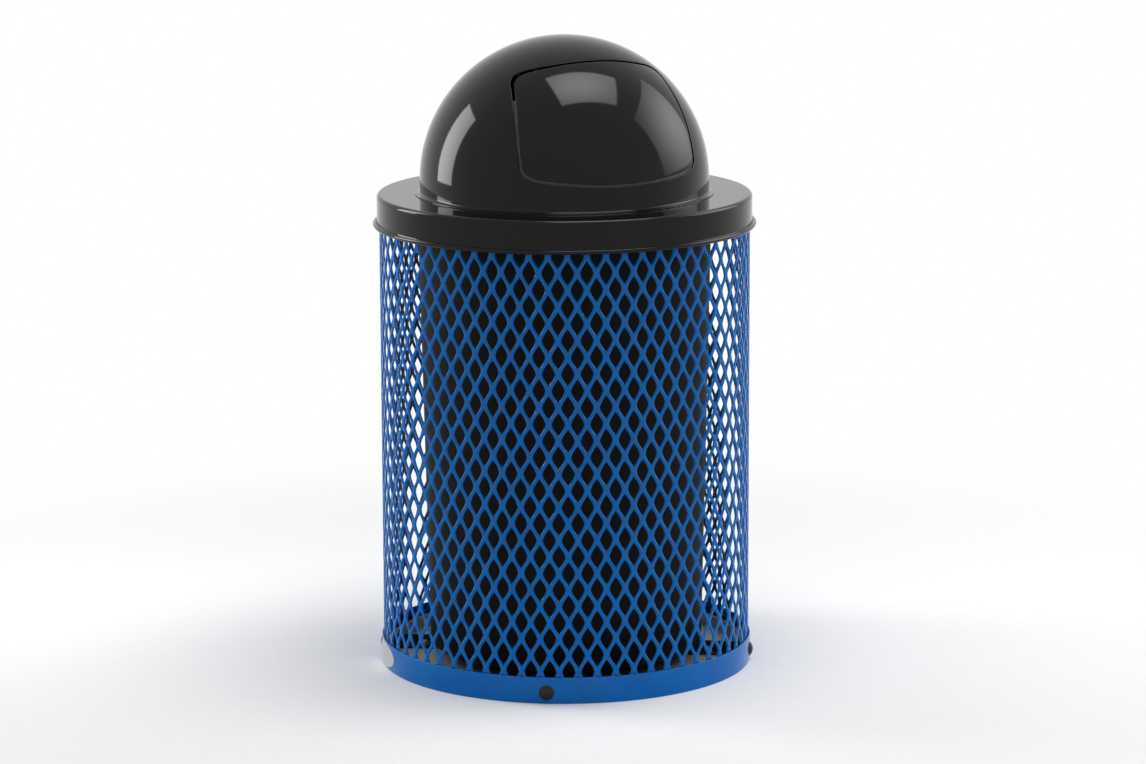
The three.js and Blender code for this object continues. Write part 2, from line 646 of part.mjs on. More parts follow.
// A solid half ball, and a half sphere's wall between two radii, with the dome's own facets.
function halfBall(radius) {
  return solidOf(turned([[0, sphereCentre], ...domeArc(radius)]));
}
function domeLayer(outer, inner) {
  return solidOf(turned([...domeArc(outer).reverse(), ...domeArc(inner)]));
}

function domeShell() {
  const foot = footBottom + LID_SHEET;
  const profile = [
    ...domeArc(DOME_RADIUS).reverse(),
    ...arc(DOME_RADIUS + DOME_FILLET, foot + DOME_FILLET, DOME_FILLET, 180, 270, CORNER_STEPS),
    [DOME_RADIUS + DOME_FOOT, foot],
    [DOME_RADIUS + DOME_FOOT, footBottom],
    [domeInner + DOME_FILLET, footBottom],
    [domeInner, footBottom + DOME_FILLET],
    ...domeArc(domeInner),
  ];
  return geometryOf(solidOf(turned(profile)).subtract(doorPrism(0)));
}
add("dome_shell", domeShell(), blackGloss);

// ---------------------------------------------------------------- push door
// The panel is the piece of the dome inside the outline, less the running gap.
const doorCut = doorPrism(DOOR_SIDE_GAP, DOOR_BOTTOM_GAP, DOOR_TOP_GAP);
const doorPanel = domeLayer(DOME_RADIUS, domeInner).intersect(doorCut);
add("door_panel", geometryOf(doorPanel), blackGloss);

// The stop frame is fixed behind the panel and laps the dome's edge at the sides and the bottom, so the door
// can't swing outwards.
function stopFrame() {
  const reach = 2 * DOME_RADIUS;
  const belowTop = box(reach, reach, reach, 0, 0, stopFrameTop - reach / 2);
  return geometryOf(
    domeLayer(backingOuter, backingOuter - STOP_FRAME_SHEET)
      .intersect(doorPrism(-STOP_FRAME_OVERLAP))
      .subtract(doorPrism(STOP_FRAME_WIDTH))
      .intersect(solidOf(belowTop)),
  );
}
add("door_stop_frame", stopFrame(), blackPaint);

// ---------------------------------------------------------------- hinge arms and brackets
// A point in front of the dome's middle, given in the YZ plane by its distance and elevation.
function frontPoint(distance, elevation) {
  const angle = degrees(elevation);
  return new THREE.Vector2(-distance * Math.cos(angle), sphereCentre + distance * Math.sin(angle));
}

// An outline in the YZ plane given a thickness along X.
function plateAcrossX(outline, from, thickness) {
  const upright = new THREE.Matrix4().set(0, 0, 1, from, 1, 0, 0, 0, 0, 1, 0, 0, 0, 0, 0, 1);
  const plate = new THREE.ExtrudeGeometry(outline, { depth: thickness, bevelEnabled: false });
  return solidOf(plate.applyMatrix4(upright));
}

// A plate with an eye round the rod, and a foot that follows the inside of the sheet to one side of it.
function hingePlate(place, footLow, footHigh, footSide) {
  const beyond = DOME_RADIUS + DOME_COLLAR;
  const low = frontPoint(beyond, footLow);
  const high = frontPoint(beyond, footHigh);
  const eye = new THREE.Vector2(hingeY, hingeZ);
  const start = high.clone().sub(eye).angle() - Math.PI / 2;
  const end = low.clone().sub(eye).angle() + Math.PI / 2 - 2 * Math.PI;
  const outline = [low, high];
  for (let k = 0; k <= EYE_STEPS; k++) {
    const angle = start + ((end - start) * k) / EYE_STEPS;
    const rounding = new THREE.Vector2(Math.cos(angle), Math.sin(angle));
    outline.push(rounding.multiplyScalar(EYE_RADIUS).add(eye));
  }
  const plate = plateAcrossX(new THREE.Shape(outline), place - HINGE_PLATE / 2, HINGE_PLATE);
  const wedge = new THREE.Shape([frontPoint(0, 0), low, high]);
  const footFrom = footSide > 0 ? place - HINGE_PLATE / 2 : place + HINGE_PLATE / 2 - HINGE_FOOT_WIDTH;
  const foot = domeLayer(backingOuter, backingOuter - HINGE_FOOT_SHEET).intersect(
    plateAcrossX(wedge, footFrom, HINGE_FOOT_WIDTH),
  );
  const bore = barAlongX(ROD_RADIUS + FIT_GAP, place - HINGE_PLATE, place + HINGE_PLATE);
  return plate
    .intersect(halfBall(backingOuter))
    .add(foot)
    .subtract(solidOf(bore.translate(0, hingeY, hingeZ)));
}

const sides = [
  { name: "left", side: -1 },
  { name: "right", side: 1 },
];
for (const { name, side } of sides) {
  const bracket = hingePlate(side * BRACKET_PLACE, BRACKET_FOOT_LOW, BRACKET_FOOT_HIGH, side);
  add(`hinge_bracket_${name}`, geometryOf(bracket), blackPaint);
  const arm = hingePlate(side * armPlace, ARM_FOOT_LOW, ARM_FOOT_HIGH, -side);
  add(`door_arm_${name}`, geometryOf(arm), blackPaint);
}

// ---------------------------------------------------------------- rod and clips
const rodEnd = clipPlace + CLIP_THICKNESS + ROD_SPARE;
add("hinge_rod", barAlongX(ROD_RADIUS, -rodEnd, rodEnd).translate(0, hingeY, hingeZ), zincSteel);
for (const { name, side } of sides) {
  const clip = ringSolid(ROD_RADIUS + FIT_GAP, CLIP_RADIUS, 0, CLIP_THICKNESS, BOLT_SIDES)
    .rotateY((side * Math.PI) / 2)
    .translate(side * clipPlace, hingeY, hingeZ);
  add(`rod_clip_${name}`, clip, zincSteel);
}

// ---------------------------------------------------------------- springs
// A torsion spring round the rod between each arm and its bracket. One leg runs along under the top of the
// door, and the short one turns up beside the bracket.
function springPath(side) {
  const coilRadius = ROD_RADIUS + SPRING_CLEARANCE + SPRING_WIRE_RADIUS;
  const coilStart = side * (springPlace - (SPRING_TURNS * SPRING_PITCH) / 2);
  // The long leg ends inside the door's facets, at its own distance from the mid-plane.
  const doorFacets = backingOuter * Math.cos(Math.PI / (4 * DOME_RINGS)) ** 2;
  const legReach = Math.sqrt(doorFacets ** 2 - (Math.abs(coilStart) + SPRING_WIRE_RADIUS) ** 2);
  const legEnd = frontPoint(legReach - SPRING_WIRE_RADIUS - FIT_GAP, SPRING_LEG_ELEVATION);
  const toLeg = legEnd.clone().sub(new THREE.Vector2(hingeY, hingeZ));
  const startAngle = toLeg.angle() - Math.acos(coilRadius / toLeg.length());
  const onCoil = (step) => {
    const angle = startAngle - (2 * Math.PI * step) / SPRING_STEPS;
    const along = coilStart + (side * SPRING_PITCH * step) / SPRING_STEPS;
    const [acrossRod, upRod] = [coilRadius * Math.cos(angle), coilRadius * Math.sin(angle)];
    return new THREE.Vector3(along, hingeY + acrossRod, hingeZ + upRod);
  };
  const points = [];
  const tip = new THREE.Vector3(coilStart, legEnd.x, legEnd.y);
  for (let k = 0; k < SPRING_LEG_STEPS; k++) points.push(tip.clone().lerp(onCoil(0), k / SPRING_LEG_STEPS));
  const coilSteps = SPRING_TURNS * SPRING_STEPS;
  for (let k = 0; k <= coilSteps; k++) points.push(onCoil(k));
  const last = onCoil(coilSteps);
  const radial = last.clone().sub(new THREE.Vector3(last.x, hingeY, hingeZ)).normalize();
  const tangent = new THREE.Vector3(0, radial.z, -radial.y).multiplyScalar(SPRING_STOP_LEG / SPRING_STOP_STEPS);
  for (let k = 1; k <= SPRING_STOP_STEPS; k++) points.push(last.clone().addScaledVector(tangent, k));
  return new THREE.CatmullRomCurve3(points, false, "centripetal");
}

function spring(side) {
  const path = springPath(side);
  const wire = new THREE.Shape(
    Array.from({ length: SPRING_WIRE_SIDES }, (_, i) => {
      const angle = (2 * Math.PI * i) / SPRING_WIRE_SIDES;
      return new THREE.Vector2(SPRING_WIRE_RADIUS * Math.cos(angle), SPRING_WIRE_RADIUS * Math.sin(angle));
    }),
  );
  const steps = path.points.length - 1;
  return new THREE.ExtrudeGeometry(wire, { steps, extrudePath: path, bevelEnabled: false });
}
for (const { name, side } of sides) add(`door_spring_${name}`, spring(side), zincSteel);

export default receptacle;
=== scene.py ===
from math import acos, asin, atan2, cos, pi, radians, sin, sqrt

import bmesh
import bpy
from mathutils import Matrix, Vector


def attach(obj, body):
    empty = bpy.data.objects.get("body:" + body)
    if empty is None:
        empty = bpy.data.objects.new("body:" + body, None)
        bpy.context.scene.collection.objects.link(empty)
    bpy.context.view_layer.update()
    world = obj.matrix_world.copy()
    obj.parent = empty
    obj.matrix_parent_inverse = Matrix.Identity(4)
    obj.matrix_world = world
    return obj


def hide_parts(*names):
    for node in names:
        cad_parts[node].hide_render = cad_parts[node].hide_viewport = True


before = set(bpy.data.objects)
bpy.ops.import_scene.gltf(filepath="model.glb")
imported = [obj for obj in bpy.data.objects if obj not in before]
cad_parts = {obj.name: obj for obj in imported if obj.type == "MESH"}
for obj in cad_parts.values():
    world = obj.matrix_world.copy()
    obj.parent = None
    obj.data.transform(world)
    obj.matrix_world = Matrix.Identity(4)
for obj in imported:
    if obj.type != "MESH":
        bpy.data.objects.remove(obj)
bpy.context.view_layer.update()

# ------------------------------------------------------------------------------------------ camera
# A long lens at eye height, seven metres away and a little to the left of the door, looking down at
# the receptacle. Its place was worked out from the diamonds of the expanded sheet.
VIEW_AZIMUTH = radians(-23.2)
VIEW_DISTANCE = 6.912
EYE_HEIGHT = 1.8375
VIEW_PITCH = radians(-11.2516)
VIEW_YAW = radians(0.106)
VIEW_ROLL = radians(0.198)
FOCAL_PIXELS = 4291.6
PHOTO_WIDTH = 1146


def outwards(azimuth):
    """The level direction at an azimuth measured from the door, in radians, towards +X."""
    return Vector((sin(azimuth), -cos(azimuth), 0.0))


camera_data = bpy.data.cameras.new("camera")
camera_data.sensor_width = 36.0
camera_data.lens = FOCAL_PIXELS / PHOTO_WIDTH * camera_data.sensor_width
camera_data.clip_end = 60.0
camera = bpy.data.objects.new("camera", camera_data)
bpy.context.scene.collection.objects.link(camera)
bpy.context.scene.camera = camera
camera.location = VIEW_DISTANCE * outwards(VIEW_AZIMUTH) + Vector((0, 0, EYE_HEIGHT))
sight = Vector((sin(VIEW_YAW) * cos(VIEW_PITCH), cos(VIEW_YAW) * cos(VIEW_PITCH), sin(VIEW_PITCH)))
level_right = Vector((cos(VIEW_YAW), -sin(VIEW_YAW), 0.0))
image_right = cos(VIEW_ROLL) * level_right + sin(VIEW_ROLL) * sight.cross(level_right)
image_up = image_right.cross(sight)
aim = Matrix((image_right, image_up, -sight)).transposed()
camera.rotation_mode = "QUATERNION"
camera.rotation_quaternion = (Matrix.Rotation(VIEW_AZIMUTH, 3, "Z") @ aim).to_quaternion()

# ------------------------------------------------------------------------------------------ studio
# A pale floor that fades into a white background, a tall strip lamp on the left, a broad lamp on the
# right and one overhead, low enough in power that the floor by the foot stays just below white. The
# black enamel mirrors the lamps and the white background between them.
FLOOR_COLOUR, FLOOR_SHADE = "#F4F4F4", "#F0F0F0"
FLOOR_GRAINS_PER_METRE = 40.0
FADE_START, FADE_END = 0.6, 1.7
ROOM_FILL = 0.46
LAMP_AIM = Vector((0.0, 0.0, 0.85))
GLOW_REACH = 0.75
OVERHEAD_TURN = radians(18.0)


def linear(hex_code):
    """An sRGB hex colour as the linear RGBA that a shader takes."""
    parts = [int(hex_code[i : i + 2], 16) / 255 for i in (1, 3, 5)]
    return (*[p / 12.92 if p <= 0.04045 else ((p + 0.055) / 1.055) ** 2.4 for p in parts], 1.0)


def add_node(tree, kind, settings, links=None):
    """Adds a node. A setting or link is named by its socket's name or number, or by its property."""
    made = tree.nodes.new(kind)
    for name, value in settings.items():
        if isinstance(name, int) or name in made.inputs:
            made.inputs[name].default_value = value
        else:
            setattr(made, name, value)
    for socket, source in (links or {}).items():
        tree.links.new(source, made.inputs[socket])
    return made


def start_material(name):
    """A new material with one Principled shader, and its tree and shader."""
    material = bpy.data.materials.new(name)
    material.use_nodes = True
    tree = material.node_tree
    return material, tree, tree.nodes["Principled BSDF"]


bpy.context.scene.view_settings.view_transform = "Standard"
room = bpy.data.worlds.new("studio_room")
bpy.context.scene.world = room
room.use_nodes = True
tree = room.node_tree
tree.nodes.clear()
path = add_node(tree, "ShaderNodeLightPath", {})
seen = path.outputs["Is Camera Ray"]
for kind in ("Is Glossy Ray", "Is Transmission Ray"):
    either = add_node(tree, "ShaderNodeMath", {"operation": "MAXIMUM"}, {0: seen, 1: path.outputs[kind]})
    seen = either.outputs[0]
strength = add_node(
    tree, "ShaderNodeMix", {"data_type": "FLOAT", "A": ROOM_FILL, "B": 1.0}, {"Factor": seen}
)
backdrop = add_node(
    tree, "ShaderNodeBackground", {"Color": (1, 1, 1, 1)}, {"Strength": strength.outputs["Result"]}
)
add_node(tree, "ShaderNodeOutputWorld", {}, {"Surface": backdrop.outputs[0]})

bpy.ops.object.select_all(action="DESELECT")
bpy.ops.mesh.primitive_plane_add(size=8.0, location=(0, 0, 0))
floor = bpy.context.object
floor.name = "floor"
material, tree, shader = start_material("pale_floor")
shader.inputs["Roughness"].default_value = 0.9
shader.inputs["Specular IOR Level"].default_value = 0.1
place = add_node(tree, "ShaderNodeTexCoord", {}).outputs["Object"]
away = add_node(tree, "ShaderNodeVectorMath", {"operation": "LENGTH"}, {0: place})
fade = add_node(
    tree,
    "ShaderNodeMapRange",
    {"interpolation_type": "SMOOTHSTEP", "From Min": FADE_START, "From Max": FADE_END},
    {"Value": away.outputs["Value"]},
)
grain = add_node(tree, "ShaderNodeTexNoise", {"Scale": FLOOR_GRAINS_PER_METRE}, {"Vector": place})
shade = add_node(
    tree,
    "ShaderNodeMix",
    {"data_type": "RGBA", "A": linear(FLOOR_COLOUR), "B": linear(FLOOR_SHADE)},
    {"Factor": grain.outputs["Fac"]},
)
tree.links.new(shade.outputs["Result"], shader.inputs["Base Color"])
gone = add_node(tree, "ShaderNodeBsdfTransparent", {})
blend = add_node(
    tree, "ShaderNodeMixShader", {}, {"Fac": fade.outputs["Result"], 1: shader.outputs[0], 2: gone.outputs[0]}
)
tree.links.new(blend.outputs[0], tree.nodes["Material Output"].inputs["Surface"])
floor.data.materials.append(material)


def lamp(name, azimuth, distance, height, width, tall, power, hot_spot=(0.5, 0.5, 0), rim_glow=0.8):
    """A soft box that faces the dome, at an azimuth in degrees from the camera's side.

    It glows most at its hot spot, given as shares of its width and height, and least at its rim.
    """
    data = bpy.data.lights.new(name, "AREA")
    data.shape = "RECTANGLE"
    data.size, data.size_y = width, tall
    data.energy = power
    data.use_nodes = True
    tree = data.node_tree
    across_box = add_node(tree, "ShaderNodeNewGeometry", {})
    from_spot = add_node(
        tree,
        "ShaderNodeVectorMath",
        {"operation": "DISTANCE", 1: hot_spot},
        {0: across_box.outputs["Parametric"]},
    )
    glow = add_node(
        tree,
        "ShaderNodeMapRange",
        {"interpolation_type": "SMOOTHSTEP", "From Max": GLOW_REACH, "To Min": 1.0, "To Max": rim_glow},
        {"Value": from_spot.outputs["Value"]},
    )
    tree.links.new(glow.outputs["Result"], tree.nodes["Emission"].inputs["Strength"])
    made = bpy.data.objects.new(name, data)
    made.location = distance * outwards(VIEW_AZIMUTH + radians(azimuth)) + Vector((0, 0, height))
    made.rotation_euler = (LAMP_AIM - made.location).to_track_quat("-Z", "Y").to_euler()
    bpy.context.scene.collection.objects.link(made)
    return made


lamp("strip_left", azimuth=-104.0, distance=1.6, height=1.24, width=0.56, tall=1.15, power=18.0)
lamp("box_right", azimuth=104.0, distance=1.9, height=1.65, width=1.7, tall=1.6, power=40.0, rim_glow=0.2)
overhead = lamp(
    "box_overhead",
    azimuth=64.0,
    distance=0.42,
    height=2.35,
    width=1.15,
    tall=0.8,
    power=24.0,
    hot_spot=(0.35, 0.5, 0),
    rim_glow=0.5,
)
overhead.rotation_euler = (0.0, 0.0, VIEW_AZIMUTH + OVERHEAD_TURN)

# --------------------------------------------------------------------------------------- base band
# A flat steel hoop that the receptacle stands on. It is dipped in the same thick blue plastisol as the
# sheet above, which rounds its edges, so the upper one catches a thin white line of light.
BAND_RADIUS = 0.305
BAND_WALL = 0.002
BAND_HEIGHT = 0.043
BAND_EDGE_STEPS = 8
ROUND_SIDES = 192
# A ring that closes on a point is kept this wide until its own points are merged.
POLE = 1e-5


def loft(name, rings, smooth_angle=40):
    """Starts with a circle on the first ring of points and extrudes it on to each following ring."""
    bpy.ops.object.select_all(action="DESELECT")
    bpy.ops.mesh.primitive_circle_add(vertices=len(rings[0]), radius=1.0)
    piece = bpy.context.object
    piece.name = name
    bpy.ops.object.mode_set(mode="EDIT")
    bpy.ops.mesh.select_all(action="SELECT")
    count = len(rings[0])
    shape = bmesh.from_edit_mesh(piece.data)
    shape.verts.ensure_lookup_table()
    order = dict(zip(shape.verts, range(count)))
    for ring in rings:
        if ring is not rings[0]:
            before = {tuple(vertex.co): index for vertex, index in order.items()}
            bpy.ops.mesh.extrude_edges_move()
            shape = bmesh.from_edit_mesh(piece.data)
            shape.verts.ensure_lookup_table()
            order = {vertex: before[tuple(vertex.co)] for vertex in shape.verts[-count:]}
        for vertex, index in order.items():
            vertex.co = ring[index]
    bpy.ops.mesh.select_all(action="SELECT")
    bpy.ops.mesh.remove_doubles(threshold=2.5 * POLE)
    bpy.ops.mesh.normals_make_consistent(inside=False)
    bpy.ops.object.mode_set(mode="OBJECT")
    bpy.ops.object.shade_smooth_by_angle(angle=radians(smooth_angle))
    return piece


def turned(name, profile, sides=ROUND_SIDES, smooth_angle=40):
    """A profile of (radius, height) points turned about the receptacle's axis."""
    around = [outwards(2 * pi * i / sides) for i in range(sides)]
    rings = []
    for radius, height in profile:
        rings.append([max(radius, POLE) * way + Vector((0, 0, height)) for way in around])
    return loft(name, rings, smooth_angle)


def arc(centre, radius, start, end, steps):
    """Points of an arc in a profile, its angles in degrees from straight outwards, up."""
    angles = [radians(start + (end - start) * i / steps) for i in range(steps + 1)]
    return [(centre[0] + radius * cos(a), centre[1] + radius * sin(a)) for a in angles]


def dress(piece, body, slot, material, *stands_for):
    """Gives a finished piece its material and its place in the assembly."""
    piece.data.materials.clear()
    piece.data.materials.append(material)
    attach(piece, body)
    if stands_for:
        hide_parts(*stands_for)


# Plastisol-coated steel: a soft vinyl skin about half a millimetre thick. It is semi-gloss, with the low
# ripple that a dipped coating sets with, a little deeper in colour where it lies thicker. Its specular
# level is below real vinyl's, so that the white background doesn't pale it.
THICK_PATCHES_PER_METRE = 18.0  # 56 mm apart
RIPPLES_PER_METRE = 260.0  # 4 mm apart

plastisol, tree, shader = start_material("plastisol_coated_steel_blue")
shader.inputs["IOR"].default_value = 1.5
shader.inputs["Specular IOR Level"].default_value = 0.15
shader.inputs["Roughness"].default_value = 0.12
place = add_node(tree, "ShaderNodeTexCoord", {}).outputs["Object"]
cloud = add_node(
    tree, "ShaderNodeTexNoise", {"Scale": THICK_PATCHES_PER_METRE, "Detail": 2.0}, {"Vector": place}
)
tint = add_node(
    tree,
    "ShaderNodeMix",
    {"data_type": "RGBA", "A": linear("#005FAE"), "B": linear("#0070C2")},
    {"Factor": cloud.outputs["Fac"]},
)
tree.links.new(tint.outputs["Result"], shader.inputs["Base Color"])
ripple = add_node(tree, "ShaderNodeTexNoise", {"Scale": RIPPLES_PER_METRE, "Detail": 1.0}, {"Vector": place})
bump = add_node(
    tree, "ShaderNodeBump", {"Strength": 0.25, "Distance": 0.0002}, {"Height": ripple.outputs["Fac"]}
)
tree.links.new(bump.outputs["Normal"], shader.inputs["Normal"])

band_middle = BAND_RADIUS - BAND_WALL / 2
edge = BAND_WALL / 2
profile = [
    *arc((band_middle, BAND_HEIGHT - edge), edge, 0, 180, BAND_EDGE_STEPS),
    *arc((band_middle, edge), edge, 180, 360, BAND_EDGE_STEPS),
]
dress(turned("band_hoop", [*profile, profile[0]]), "body", "blue_coating", plastisol, "base_band")

# -------------------------------------------------------------------------------------- oval plate
# A thin oval of bare brushed aluminium, stuck round the left of the band. The brushing runs along it
# and gives it a soft, silver-white sheen.
PLATE_AZIMUTH = radians(-101)
PLATE_HALF_LENGTH = 0.055
PLATE_HALF_HEIGHT = 0.0195
PLATE_SHEET = 0.0006
PLATE_GAP = 0.0001
PLATE_EDGE_DROP, PLATE_EDGE_SHARE = 0.0002, 0.98
PLATE_POINTS = 64
PLATE_RINGS = 8
BRUSH_LINES_PER_METRE = (60.0, 60.0, 2500.0)  # 17 mm long and 0.4 mm apart

aluminium, tree, shader = start_material("brushed_aluminium")
shader.inputs["Metallic"].default_value = 0.6
place = add_node(tree, "ShaderNodeTexCoord", {}).outputs["Object"]
stretch = add_node(tree, "ShaderNodeMapping", {"Scale": BRUSH_LINES_PER_METRE}, {"Vector": place})
brushing = add_node(
    tree, "ShaderNodeTexNoise", {"Scale": 1.0, "Detail": 3.0}, {"Vector": stretch.outputs["Vector"]}
)
tint = add_node(
    tree,
    "ShaderNodeMix",
    {"data_type": "RGBA", "A": linear("#D2D2D5"), "B": linear("#BEBFC3")},
    {"Factor": brushing.outputs["Fac"]},
)
tree.links.new(tint.outputs["Result"], shader.inputs["Base Color"])
dull = add_node(
    tree, "ShaderNodeMapRange", {"To Min": 0.38, "To Max": 0.55}, {"Value": brushing.outputs["Fac"]}
)
tree.links.new(dull.outputs["Result"], shader.inputs["Roughness"])


def plate_ring(share, radius):
    """An oval on the band at a share of its full size, bent to a radius."""
    ring = []
    for i in range(PLATE_POINTS):
        turn = 2 * pi * i / PLATE_POINTS
        azimuth = PLATE_AZIMUTH + max(share, POLE) * PLATE_HALF_LENGTH * cos(turn) / BAND_RADIUS
        height = BAND_HEIGHT / 2 + max(share, POLE) * PLATE_HALF_HEIGHT * sin(turn)
        ring.append(radius * outwards(azimuth) + Vector((0, 0, height)))
    return ring


plate_back = BAND_RADIUS + PLATE_GAP
plate_face = plate_back + PLATE_SHEET
plate_edge = [(PLATE_EDGE_SHARE, plate_face), (1.0, plate_face - PLATE_EDGE_DROP), (1.0, plate_back)]
outward = [i / PLATE_RINGS for i in range(1, PLATE_RINGS)]
rings = [plate_ring(share, plate_face) for share in outward]
rings += [plate_ring(share, radius) for share, radius in plate_edge]
rings += [plate_ring(share, plate_back) for share in reversed(outward)]
plate = loft("oval_plate", rings, smooth_angle=35)
bpy.ops.object.mode_set(mode="EDIT")
bpy.ops.mesh.select_all(action="SELECT")
bpy.ops.mesh.fill_holes(sides=PLATE_POINTS)
bpy.ops.mesh.normals_make_consistent(inside=False)
bpy.ops.object.mode_set(mode="OBJECT")
dress(plate, "body", "zinc_steel", aluminium)

# ------------------------------------------------------------------------------------- bottom pan
# A shallow pan of galvanised sheet under the liner, which keeps litter water off the paving. Its dull
# zinc has the faint spangle and scuffs of bare sheet.
SPANGLES_PER_METRE = 90.0  # 11 mm apart
SCUFFS_PER_METRE = 30.0  # 33 mm apart

galvanised, tree, shader = start_material("galvanised_sheet")
shader.inputs["Metallic"].default_value = 0.45
place = add_node(tree, "ShaderNodeTexCoord", {}).outputs["Object"]
spangle = add_node(tree, "ShaderNodeTexVoronoi", {"Scale": SPANGLES_PER_METRE}, {"Vector": place})
tint = add_node(
    tree,
    "ShaderNodeMix",
    {"data_type": "RGBA", "A": linear("#B9B4AE"), "B": linear("#9C9791")},
    {"Factor": spangle.outputs["Distance"]},
)
tree.links.new(tint.outputs["Result"], shader.inputs["Base Color"])
scuff = add_node(tree, "ShaderNodeTexNoise", {"Scale": SCUFFS_PER_METRE, "Detail": 6.0}, {"Vector": place})
dull = add_node(tree, "ShaderNodeMapRange", {"To Min": 0.42, "To Max": 0.62}, {"Value": scuff.outputs["Fac"]})
tree.links.new(dull.outputs["Result"], shader.inputs["Roughness"])


def finish_node(material, *names):
    """Gives a solid that stays as it is its material."""
    for name in names:
        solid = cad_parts[name]
        while len(solid.material_slots) > 1:
            solid.data.materials.pop()
        if not solid.material_slots:
            solid.data.materials.append(material)
        solid.material_slots[0].material = material


finish_node(galvanised, "bottom_pan")

# -------------------------------------------------------------------------------------- cross bars
# Three lengths of rolled steel angle that carry the liner, brushed with black paint. The brush left a
# low grain, and the paint is a satin one.
BRUSH_MARKS_PER_METRE = 120.0  # 8 mm apart

bar_paint, tree, shader = start_material("satin_black_paint")
place = add_node(tree, "ShaderNodeTexCoord", {}).outputs["Object"]
brushed = add_node(
    tree, "ShaderNodeTexNoise", {"Scale": BRUSH_MARKS_PER_METRE, "Detail": 3.0}, {"Vector": place}
)
tint = add_node(
    tree,
    "ShaderNodeMix",
    {"data_type": "RGBA", "A": linear("#0C0C0D"), "B": linear("#161617")},
    {"Factor": brushed.outputs["Fac"]},
)
tree.links.new(tint.outputs["Result"], shader.inputs["Base Color"])
dull = add_node(
    tree, "ShaderNodeMapRange", {"To Min": 0.32, "To Max": 0.48}, {"Value": brushed.outputs["Fac"]}
)
tree.links.new(dull.outputs["Result"], shader.inputs["Roughness"])
bump = add_node(
    tree, "ShaderNodeBump", {"Strength": 0.2, "Distance": 0.0003}, {"Height": brushed.outputs["Fac"]}
)
tree.links.new(bump.outputs["Normal"], shader.inputs["Normal"])
finish_node(bar_paint, "cross_bar_long", "cross_bar_front", "cross_bar_back")

# --------------------------------------------------------------------------- nuts and hexagon bolts
# M10 nuts behind the bars' tabs, and M8 bolts that hang the pan from the bars. They are forged steel
# with bright zinc plate.
BOLT_COUNT = 4
PLATING_SPOTS_PER_METRE = 200.0  # 5 mm apart

zinc, tree, shader = start_material("bright_zinc_plate")
shader.inputs["Metallic"].default_value = 1.0
place = add_node(tree, "ShaderNodeTexCoord", {}).outputs["Object"]
plating = add_node(
    tree, "ShaderNodeTexNoise", {"Scale": PLATING_SPOTS_PER_METRE, "Detail": 3.0}, {"Vector": place}
)
tint = add_node(
    tree,
    "ShaderNodeMix",
    {"data_type": "RGBA", "A": linear("#C9CBCD"), "B": linear("#B2B5B9")},
    {"Factor": plating.outputs["Fac"]},
)
tree.links.new(tint.outputs["Result"], shader.inputs["Base Color"])
dull = add_node(
    tree, "ShaderNodeMapRange", {"To Min": 0.22, "To Max": 0.38}, {"Value": plating.outputs["Fac"]}
)
tree.links.new(dull.outputs["Result"], shader.inputs["Roughness"])
for number in range(1, BOLT_COUNT + 1):
    finish_node(zinc, f"carriage_nut_{number}", f"pan_bolt_{number}", f"pan_nut_{number}")

# ---------------------------------------------------------------------------------- carriage bolts
# Four M10 bolts hold the bars' ends to the band, their mushroom heads outside. They are black oxide
# steel, oiled, which gives each head one small bright highlight.
BOLT_HEIGHT = 0.018
FIRST_BOLT_AZIMUTH = -29.2
BOLT_HEAD_RADIUS = 0.0123
BOLT_HEAD_HEIGHT = 0.0054
BOLT_SHANK_RADIUS = 0.005
BOLT_TIP = -0.0185
BOLT_TIP_CHAMFER = 0.001
BOLT_RIM_INSET, BOLT_RIM_HEIGHT = 0.0006, 0.0005
BOLT_SEAT_GAP = 0.0003
BOLT_SIDES = 40
CAP_MARGIN = 4
SCALE_MARKS_PER_METRE = 350.0  # 3 mm apart

black_oxide, tree, shader = start_material("oiled_black_oxide")
shader.inputs["Specular IOR Level"].default_value = 0.3
place = add_node(tree, "ShaderNodeTexCoord", {}).outputs["Object"]
scale_marks = add_node(
    tree, "ShaderNodeTexNoise", {"Scale": SCALE_MARKS_PER_METRE, "Detail": 2.0}, {"Vector": place}
)
tint = add_node(
    tree,
    "ShaderNodeMix",
    {"data_type": "RGBA", "A": linear("#0A0A0B"), "B": linear("#151516")},
    {"Factor": scale_marks.outputs["Fac"]},
)
tree.links.new(tint.outputs["Result"], shader.inputs["Base Color"])
dull = add_node(
    tree, "ShaderNodeMapRange", {"To Min": 0.08, "To Max": 0.16}, {"Value": scale_marks.outputs["Fac"]}
)
tree.links.new(dull.outputs["Result"], shader.inputs["Roughness"])

